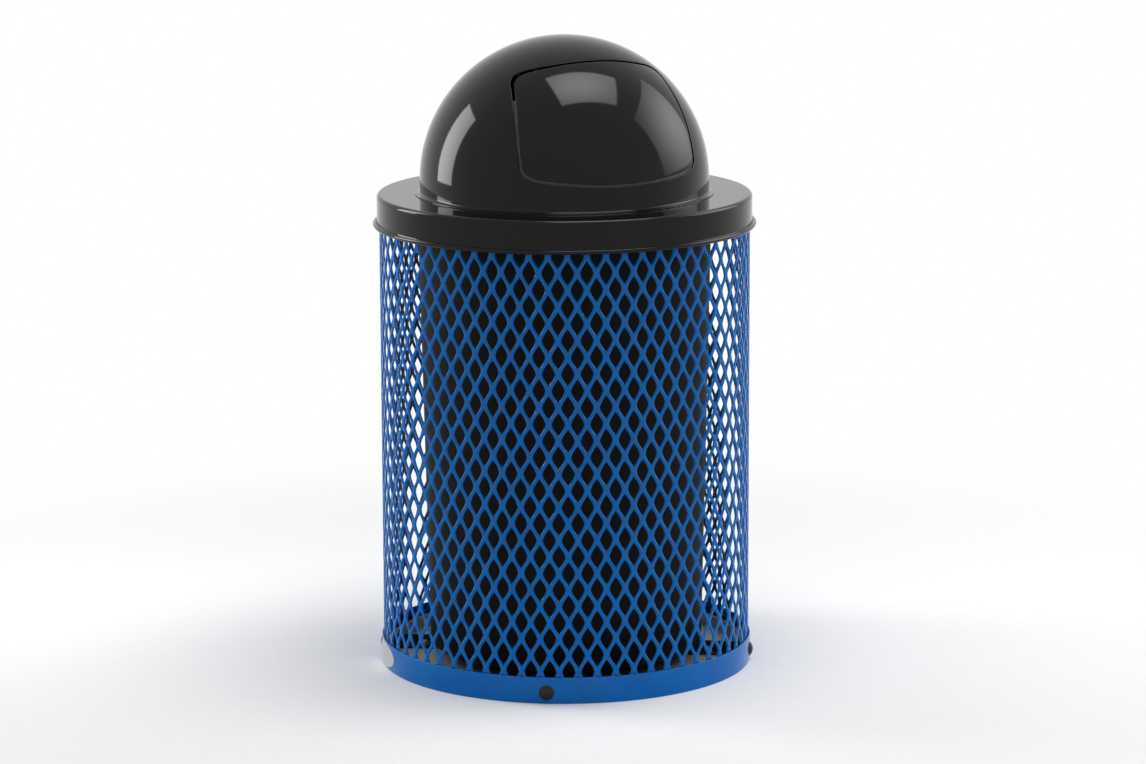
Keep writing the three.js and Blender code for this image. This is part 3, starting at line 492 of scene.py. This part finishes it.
cap_radius = (BOLT_HEAD_RADIUS**2 + BOLT_HEAD_HEIGHT**2) / (2 * BOLT_HEAD_HEIGHT)
cap_start = 90 - asin(BOLT_HEAD_RADIUS / cap_radius) * 180 / pi
cap_centre = (0, BOLT_HEAD_HEIGHT - cap_radius)
for number in range(1, BOLT_COUNT + 1):
    bolt = turned(
        f"mushroom_head_bolt_{number}",
        [
            (0.0, BOLT_TIP),
            (BOLT_SHANK_RADIUS - BOLT_TIP_CHAMFER, BOLT_TIP),
            (BOLT_SHANK_RADIUS, BOLT_TIP + BOLT_TIP_CHAMFER),
            (BOLT_SHANK_RADIUS, 0.0),
            (BOLT_HEAD_RADIUS - BOLT_RIM_INSET, 0.0),
            (BOLT_HEAD_RADIUS, BOLT_RIM_HEIGHT),
            *arc(cap_centre, cap_radius, cap_start + CAP_MARGIN, 90 - CAP_MARGIN, 9),
            (0.0, BOLT_HEAD_HEIGHT),
        ],
        sides=BOLT_SIDES,
    )
    azimuth = radians(FIRST_BOLT_AZIMUTH + 360 / BOLT_COUNT * (number - 1))
    outward_turn = Matrix.Rotation(azimuth, 4, "Z") @ Matrix.Rotation(pi / 2, 4, "X")
    seat = (BAND_RADIUS + BOLT_SEAT_GAP) * outwards(azimuth) + Vector((0, 0, BOLT_HEIGHT))
    bolt.data.transform(Matrix.Translation(seat) @ outward_turn)
    dress(bolt, "body", "black_paint", black_oxide, f"carriage_bolt_{number}")

# ----------------------------------------------------------------------------------- expanded sheet
# The wall is one sheet of expanded steel rolled into a cylinder and dipped in blue plastisol. Slit and
# stretched metal leaves eye-shaped openings, whose strands the coating rounds.
SHEET_COLUMNS = 62
SHEET_ROW_PITCH = 0.02684
SHEET_FIRST_AZIMUTH = radians(-22.415 + 180 / SHEET_COLUMNS)
SHEET_FIRST_ROW = 0.02394
SHEET_PAIRS = 15
SHEET_OUTSIDE = 0.30205
SHEET_THICKNESS = 0.0034
SHEET_BOTTOM = 0.030
SHEET_TOP = 0.771
EYE_HALF_WIDTH = 0.0105
EYE_HALF_HEIGHT = 0.0187
EYE_PARTS = 3
EYE_LEVELS = (0.0, 0.36, 0.70, 1.0)
EYE_FULLNESS = 1.45
# How far into the strand, and how deep, each ring of its rounded edge lies.
STRAND_EDGE = ((0.0020, 0.0002), (0.0011, 0.0011), (0.0, 0.0025))
SHEET_WELD = 2e-5

sheet_middle = SHEET_OUTSIDE - SHEET_THICKNESS / 2
half_column = pi * sheet_middle / SHEET_COLUMNS
eye, border = [], []
for step in range(4 * EYE_PARTS):
    quarter, part = divmod(step, EYE_PARTS)
    if quarter % 2 == 0:
        level, share = EYE_LEVELS[part], part / EYE_PARTS
    else:
        level, share = EYE_LEVELS[EYE_PARTS - part], 1 - part / EYE_PARTS
    side = 1 if quarter in (0, 3) else -1
    up = 1 if quarter in (0, 1) else -1
    eye.append(Vector((side * EYE_HALF_WIDTH * (1 - level**EYE_FULLNESS), 0, up * EYE_HALF_HEIGHT * level)))
    border.append(Vector((side * half_column * (1 - share), 0, up * SHEET_ROW_PITCH * share)))


def strand_ring(from_eye, depth):
    """The eye's outline moved into the strands round it, at a depth under the sheet's outer face."""
    return [
        (p + (q - p).normalized() * from_eye if from_eye is not None else q) + Vector((0, depth, 0))
        for p, q in zip(eye, border)
    ]


sheet = loft(
    "expanded_sheet",
    [
        strand_ring(None, 0.0),
        *[strand_ring(from_eye, depth) for from_eye, depth in STRAND_EDGE],
        strand_ring(None, SHEET_THICKNESS),
    ],
)


def apply_array(count, offset):
    """Repeats the active piece along an offset in metres."""
    bpy.ops.object.modifier_add(type="ARRAY")
    repeat = bpy.context.object.modifiers[-1]
    repeat.count = count
    repeat.use_relative_offset = False
    repeat.use_constant_offset = True
    repeat.constant_offset_displace = offset
    bpy.ops.object.modifier_apply(modifier=repeat.name)


apply_array(SHEET_COLUMNS, (2 * half_column, 0, 0))
bpy.ops.object.duplicate()
staggered = bpy.context.object
staggered.data.transform(Matrix.Translation((-half_column, 0, SHEET_ROW_PITCH)))
sheet.select_set(True)
bpy.context.view_layer.objects.active = sheet
bpy.ops.object.join()
apply_array(SHEET_PAIRS, (0, 0, 2 * SHEET_ROW_PITCH))
for vertex in sheet.data.vertices:
    across, depth, up = vertex.co
    wrapped = (SHEET_OUTSIDE - depth) * outwards(SHEET_FIRST_AZIMUTH + across / sheet_middle)
    vertex.co = wrapped + Vector((0, 0, SHEET_FIRST_ROW + up))
bpy.ops.object.mode_set(mode="EDIT")
bpy.ops.mesh.select_all(action="SELECT")
bpy.ops.mesh.remove_doubles(threshold=SHEET_WELD)
bpy.ops.mesh.bisect(plane_co=(0, 0, SHEET_BOTTOM), plane_no=(0, 0, 1), clear_inner=True)
bpy.ops.mesh.select_all(action="SELECT")
bpy.ops.mesh.bisect(plane_co=(0, 0, SHEET_TOP), plane_no=(0, 0, 1), clear_outer=True)
bpy.ops.mesh.select_all(action="SELECT")
bpy.ops.mesh.fill_holes(sides=40)
bpy.ops.mesh.select_all(action="SELECT")
bpy.ops.mesh.normals_make_consistent(inside=False)
bpy.ops.object.mode_set(mode="OBJECT")
bpy.ops.object.shade_smooth_by_angle(angle=radians(70))
dress(sheet, "body", "blue_coating", plastisol, "mesh_shell")

# ---------------------------------------------------------------------------------------- rim hoop
# A flat steel hoop welded inside the top of the sheet and dipped in plastisol with it. The lid's flange
# rests on its edge.
finish_node(plastisol, "top_rim_band")

# ------------------------------------------------------------------------------------------- liner
# A tapered tub of black polyethylene with a rounded foot and a turned-down rim to lift it by. It is
# rotationally moulded, so its skin is matt, finely pebbled and a little uneven in gloss.
LINER_BOTTOM = 0.0278
LINER_TOP = 0.7398
LINER_FOOT_RADIUS = 0.224
LINER_TAPER = 0.0212
LINER_WALL = 0.003
LINER_FLOOR = 0.004
LINER_CORNER = 0.009
LINER_RIM_REACH = 0.011
LINER_RIM_DROP = 0.014
LINER_RIM_THICKENING = 0.0004
LINER_RIM_ROUND, LINER_MOUTH_ROUND = 0.002, 0.0015
LINER_OUTER_LEVELS, LINER_INNER_LEVEL = (0.3, 0.55), 0.4
GLOSS_PATCHES_PER_METRE = 9.0  # 110 mm apart
PEBBLES_PER_METRE = 700.0  # 1.4 mm apart

polyethylene, tree, shader = start_material("moulded_polyethylene_black")
shader.inputs["IOR"].default_value = 1.51
shader.inputs["Specular IOR Level"].default_value = 0.1
place = add_node(tree, "ShaderNodeTexCoord", {}).outputs["Object"]
patchy = add_node(
    tree, "ShaderNodeTexNoise", {"Scale": GLOSS_PATCHES_PER_METRE, "Detail": 4.0}, {"Vector": place}
)
tint = add_node(
    tree,
    "ShaderNodeMix",
    {"data_type": "RGBA", "A": linear("#0D0D0F"), "B": linear("#161618")},
    {"Factor": patchy.outputs["Fac"]},
)
tree.links.new(tint.outputs["Result"], shader.inputs["Base Color"])
dull = add_node(tree, "ShaderNodeMapRange", {"To Min": 0.5, "To Max": 0.66}, {"Value": patchy.outputs["Fac"]})
tree.links.new(dull.outputs["Result"], shader.inputs["Roughness"])
pebble = add_node(tree, "ShaderNodeTexNoise", {"Scale": PEBBLES_PER_METRE, "Detail": 1.0}, {"Vector": place})
bump = add_node(
    tree, "ShaderNodeBump", {"Strength": 0.3, "Distance": 0.0002}, {"Height": pebble.outputs["Fac"]}
)
tree.links.new(bump.outputs["Normal"], shader.inputs["Normal"])


def liner_radius(height):
    return LINER_FOOT_RADIUS + LINER_TAPER * (height - LINER_BOTTOM)


corner_top = LINER_BOTTOM + LINER_CORNER
rim_outside = liner_radius(LINER_TOP) + LINER_RIM_REACH
inner_corner = LINER_CORNER - LINER_WALL
floor_top = LINER_BOTTOM + LINER_FLOOR
corner_reach = liner_radius(corner_top) - LINER_CORNER
rim_underside = LINER_TOP - LINER_WALL - LINER_RIM_THICKENING
rim_centre = (rim_outside - LINER_RIM_ROUND, LINER_TOP - LINER_RIM_ROUND)
mouth_centre = (liner_radius(LINER_TOP) - LINER_MOUTH_ROUND, LINER_TOP - LINER_MOUTH_ROUND)
dress(
    turned(
        "liner_tub",
        [
            (0.0, LINER_BOTTOM),
            *arc((corner_reach, corner_top), LINER_CORNER, -90, 0, 6),
            *[(liner_radius(height), height) for height in LINER_OUTER_LEVELS],
            (liner_radius(LINER_TOP - LINER_WALL), rim_underside),
            (rim_outside - LINER_WALL, rim_underside),
            (rim_outside - LINER_WALL, LINER_TOP - LINER_RIM_DROP),
            (rim_outside, LINER_TOP - LINER_RIM_DROP),
            *arc(rim_centre, LINER_RIM_ROUND, 0, 90, 4),
            *arc(mouth_centre, LINER_MOUTH_ROUND, 90, 180, 3),
            (liner_radius(LINER_INNER_LEVEL) - LINER_WALL, LINER_INNER_LEVEL),
            *arc((corner_reach, floor_top + inner_corner), inner_corner, 0, -90, 5),
            (0.0, floor_top),
        ],
    ),
    "liner",
    "liner_black",
    polyethylene,
    "liner",
)

# ----------------------------------------------------------------------------------------- lid ring
# One pressed and rolled steel ring: a flat flange that carries the dome, a rounded edge, a straight
# skirt over the sheet, and a hem rolled into a bead. It is powder coated in gloss black.
LID_SHEET = 0.0012
LID_OPENING = 0.229
SKIRT_OUTSIDE = 0.3059
FLANGE_TOP = 0.7785
LID_EDGE_RADIUS = 0.006
HEM_RADIUS = 0.0036
HEM_HEIGHT = 0.7293
HEM_RISE = 0.0042

# Powder coat: a baked polyester film. It is black and mirror-like from a step away, with a faint
# orange peel of a few millimetres that only bends the edges of what it mirrors. Its specular level is
# below a real film's 0.5, so that it stays dark against the white background.
CLOUDS_PER_METRE = 25.0  # 40 mm apart
DIMPLES_PER_METRE = 160.0  # 6 mm apart

powder_coat, tree, shader = start_material("gloss_black_powder_coat")
shader.inputs["IOR"].default_value = 1.5
shader.inputs["Specular IOR Level"].default_value = 0.2
place = add_node(tree, "ShaderNodeTexCoord", {}).outputs["Object"]
film = add_node(tree, "ShaderNodeTexNoise", {"Scale": CLOUDS_PER_METRE, "Detail": 3.0}, {"Vector": place})
tint = add_node(
    tree,
    "ShaderNodeMix",
    {"data_type": "RGBA", "A": linear("#030303"), "B": linear("#060606")},
    {"Factor": film.outputs["Fac"]},
)
tree.links.new(tint.outputs["Result"], shader.inputs["Base Color"])
gloss = add_node(tree, "ShaderNodeMapRange", {"To Min": 0.05, "To Max": 0.09}, {"Value": film.outputs["Fac"]})
tree.links.new(gloss.outputs["Result"], shader.inputs["Roughness"])
peel = add_node(tree, "ShaderNodeTexNoise", {"Scale": DIMPLES_PER_METRE, "Detail": 1.0}, {"Vector": place})
bump = add_node(
    tree, "ShaderNodeBump", {"Strength": 0.03, "Distance": 0.0002}, {"Height": peel.outputs["Fac"]}
)
tree.links.new(bump.outputs["Normal"], shader.inputs["Normal"])

edge_centre = (SKIRT_OUTSIDE - LID_EDGE_RADIUS, FLANGE_TOP - LID_EDGE_RADIUS)
hem_centre = (SKIRT_OUTSIDE + HEM_RADIUS - LID_SHEET / 2, HEM_HEIGHT)
# Points just past each bend keep the flange and the skirt truly flat, or their mirror images bow.
PAST_BEND = 0.0008
profile = [
    (LID_OPENING, FLANGE_TOP),
    (edge_centre[0] - PAST_BEND, FLANGE_TOP),
    *arc(edge_centre, LID_EDGE_RADIUS, 90, 0, 10),
    (SKIRT_OUTSIDE, edge_centre[1] - PAST_BEND),
    (SKIRT_OUTSIDE, HEM_HEIGHT + HEM_RISE + PAST_BEND),
    (SKIRT_OUTSIDE, HEM_HEIGHT + HEM_RISE),
    *arc(hem_centre, HEM_RADIUS, 130, -150, 16),
    (SKIRT_OUTSIDE - LID_SHEET, HEM_HEIGHT),
    *arc(edge_centre, LID_EDGE_RADIUS - LID_SHEET, 0, 90, 6),
    (LID_OPENING, FLANGE_TOP - LID_SHEET),
    (LID_OPENING, FLANGE_TOP),
]
dress(turned("pressed_lid_ring", profile), "lid", "lid_black", powder_coat, "lid_ring")

# -------------------------------------------------------------------------------------- dome shell
# A half ball spun from the same sheet, on a short straight collar with a turned-out foot spot welded
# to the ring. The doorway is cut in its front, and the powder coat rounds the cut edge.
DOME_RADIUS = 0.2358
SPHERE_HEIGHT = 0.7987
FOOT_BOTTOM = 0.7788
FOOT_REACH = 0.008
FOOT_FILLET = 0.004
FOOT_EDGE = 0.0005
DOORWAY_STEPS = 256
DOOR_EDGE_STEPS, DOOR_CORNER_STEPS = 40, 12
DOME_RINGS = 72
DOOR_BOTTOM, DOOR_BOTTOM_CORNER = 0.020, 0.032
DOOR_TOP, DOOR_TOP_CORNER = 0.207, 0.186
DOOR_HALF_BOTTOM, DOOR_HALF_TOP = 0.151, 0.127
DOOR_SIDE_BOW = 0.009
DOOR_CORNER_SHARE = 0.09
DOORWAY_MIDDLE = radians(27.8)
EDGE_ROLL_WIDTH, EDGE_ROLL_DEPTH = 0.0009, 0.0008
EDGE_ROLL_STEPS = (1.0, 0.68, 0.40, 0.18, 0.05, 0.0)

middle = Vector((0, -cos(DOORWAY_MIDDLE), sin(DOORWAY_MIDDLE)))
across = Vector((1, 0, 0))
upward = Vector((0, sin(DOORWAY_MIDDLE), cos(DOORWAY_MIDDLE)))


def bezier(start, control, end, share):
    return start * (1 - share) ** 2 + control * 2 * share * (1 - share) + end * share**2


def door_outline(side_margin, bottom_margin, top_margin):
    """The doorway's bowed edges and rounded corners seen from the front, pulled in by margins."""
    bottom, top = DOOR_HALF_BOTTOM - side_margin, DOOR_HALF_TOP - side_margin
    low, high = DOOR_BOTTOM_CORNER + bottom_margin, DOOR_TOP_CORNER - top_margin
    corners = [Vector(c) for c in ((-bottom, low), (bottom, low), (top, high), (-top, high))]
    bows = (DOOR_BOTTOM_CORNER - DOOR_BOTTOM, DOOR_SIDE_BOW, DOOR_TOP - DOOR_TOP_CORNER, DOOR_SIDE_BOW)
    edges = []
    for start, end, bow in zip(corners, corners[1:] + corners[:1], bows):
        along = (end - start).normalized()
        edges.append((start, (start + end) / 2 + Vector((along.y, -along.x)) * 2 * bow, end))
    points = []
    first, last = DOOR_CORNER_SHARE, 1 - DOOR_CORNER_SHARE
    for edge_points, following in zip(edges, edges[1:] + edges[:1]):
        for k in range(DOOR_EDGE_STEPS + 1):
            points.append(bezier(*edge_points, first + (last - first) * k / DOOR_EDGE_STEPS))
        ends = bezier(*edge_points, last), bezier(*following, first)
        for k in range(1, DOOR_CORNER_STEPS):
            points.append(bezier(ends[0], edge_points[2], ends[1], k / DOOR_CORNER_STEPS))
    return points


def reach_of(outline):
    """How far the outline lies from the doorway's middle, as angles at the sphere's centre, all round."""
    polar = []
    for x, z in outline:
        direction = Vector((x, -sqrt(DOME_RADIUS**2 - x * x - z * z), z)).normalized()
        turn = atan2(direction.dot(upward), direction.dot(across)) % (2 * pi)
        polar.append((turn, acos(direction.dot(middle))))
    polar.sort()
    polar = [(polar[-1][0] - 2 * pi, polar[-1][1]), *polar, (polar[0][0] + 2 * pi, polar[0][1])]
    reach, k = [], 0
    for i in range(DOORWAY_STEPS):
        turn = 2 * pi * i / DOORWAY_STEPS
        while polar[k + 1][0] < turn:
            k += 1
        (turn_a, reach_a), (turn_b, reach_b) = polar[k], polar[k + 1]
        reach.append(reach_a + (reach_b - reach_a) * (turn - turn_a) / (turn_b - turn_a))
    return reach


def on_sphere(radius, reach):
    """A ring of points at a radius from the sphere's centre, at given angles from the doorway's middle."""
    ring = []
    for i, angle in enumerate(reach):
        turn = 2 * pi * i / DOORWAY_STEPS
        angle = max(angle, POLE / radius)
        direction = cos(angle) * middle + sin(angle) * (cos(turn) * across + sin(turn) * upward)
        ring.append(direction * radius + Vector((0, 0, SPHERE_HEIGHT)))
    return ring


def rolled_edge(reach, towards):
    """Rings from the sheet's outer face round its edge. towards is 1 where the sheet lies further out."""
    rings = []
    for part in EDGE_ROLL_STEPS:
        drop = EDGE_ROLL_DEPTH * (1 - sqrt(max(0.0, 1 - (1 - part) ** 2)))
        moved = [angle + towards * part * EDGE_ROLL_WIDTH / DOME_RADIUS for angle in reach]
        rings.append(on_sphere(DOME_RADIUS - drop, moved))
    return rings


doorway = reach_of(door_outline(0, 0, 0))
equator = []
for i in range(DOORWAY_STEPS):
    turn = 2 * pi * i / DOORWAY_STEPS
    equator.append(atan2(sin(DOORWAY_MIDDLE), -sin(turn) * cos(DOORWAY_MIDDLE)))
edge_start = [angle + EDGE_ROLL_WIDTH / DOME_RADIUS for angle in doorway]
dome_inside = DOME_RADIUS - LID_SHEET


def dome_rings(radius, start, count):
    """Rings over the sphere from the doorway to its equator."""
    rings = []
    for k in range(count + 1):
        rings.append(on_sphere(radius, [a + (b - a) * k / count for a, b in zip(start, equator)]))
    return rings


def level_ring(radius, height):
    """A level ring whose points stand under those of the equator."""
    ring = []
    for point in on_sphere(1.0, equator):
        ring.append(Vector((point.x, point.y, 0)).normalized() * radius + Vector((0, 0, height)))
    return ring


foot_top = FOOT_BOTTOM + LID_SHEET
foot_profile = [
    *arc((DOME_RADIUS + FOOT_FILLET, foot_top + FOOT_FILLET), FOOT_FILLET, 180, 270, 6),
    (DOME_RADIUS + FOOT_REACH - FOOT_EDGE, foot_top),
    (DOME_RADIUS + FOOT_REACH, foot_top - FOOT_EDGE),
    (DOME_RADIUS + FOOT_REACH, FOOT_BOTTOM),
    (dome_inside + FOOT_FILLET, FOOT_BOTTOM),
    (dome_inside, FOOT_BOTTOM + FOOT_FILLET),
]
rings = [
    *rolled_edge(doorway, 1)[::-1],
    *dome_rings(DOME_RADIUS, edge_start, DOME_RINGS)[1:],
    *[level_ring(radius, height) for radius, height in foot_profile],
    *dome_rings(dome_inside, doorway, DOME_RINGS // 2)[::-1],
    rolled_edge(doorway, 1)[-1],
]
dress(loft("spun_dome", rings, smooth_angle=45), "lid", "lid_black", powder_coat, "dome_shell")

# --------------------------------------------------------------------------------------- push door
# The door is pressed to the dome's own curve, so it closes flush with a dark gap all round. Its rim is
# turned in a little, and that edge draws a bright line inside the gap.
DOOR_SIDE_GAP, DOOR_BOTTOM_GAP, DOOR_TOP_GAP = 0.0035, 0.004, 0.002
DOOR_FACE_RINGS, DOOR_BACK_RINGS = 40, 12


def door_rings(radius, rim, count):
    """Rings over the door's curve, from its middle out to its rim."""
    return [on_sphere(radius, [angle * k / count for angle in rim]) for k in range(count + 1)]


door_reach = reach_of(door_outline(DOOR_SIDE_GAP, DOOR_BOTTOM_GAP, DOOR_TOP_GAP))
face_reach = [angle - EDGE_ROLL_WIDTH / DOME_RADIUS for angle in door_reach]
rings = [
    *door_rings(DOME_RADIUS, face_reach, DOOR_FACE_RINGS)[:-1],
    *rolled_edge(door_reach, -1),
    *door_rings(dome_inside, door_reach, DOOR_BACK_RINGS)[::-1],
]
dress(loft("pressed_door", rings, smooth_angle=45), "door", "lid_black", powder_coat, "door_panel")

# ------------------------------------------------------------------------------- hinge and springs
# Behind the door are its stop frame and arms, and the brackets that hold the rod to the dome, all of
# painted steel. The rod, its clips and the two torsion springs are zinc plated.
finish_node(bar_paint, "door_stop_frame", "door_arm_left", "door_arm_right")
finish_node(bar_paint, "hinge_bracket_left", "hinge_bracket_right")
finish_node(zinc, "hinge_rod", "rod_clip_left", "rod_clip_right", "door_spring_left", "door_spring_right")
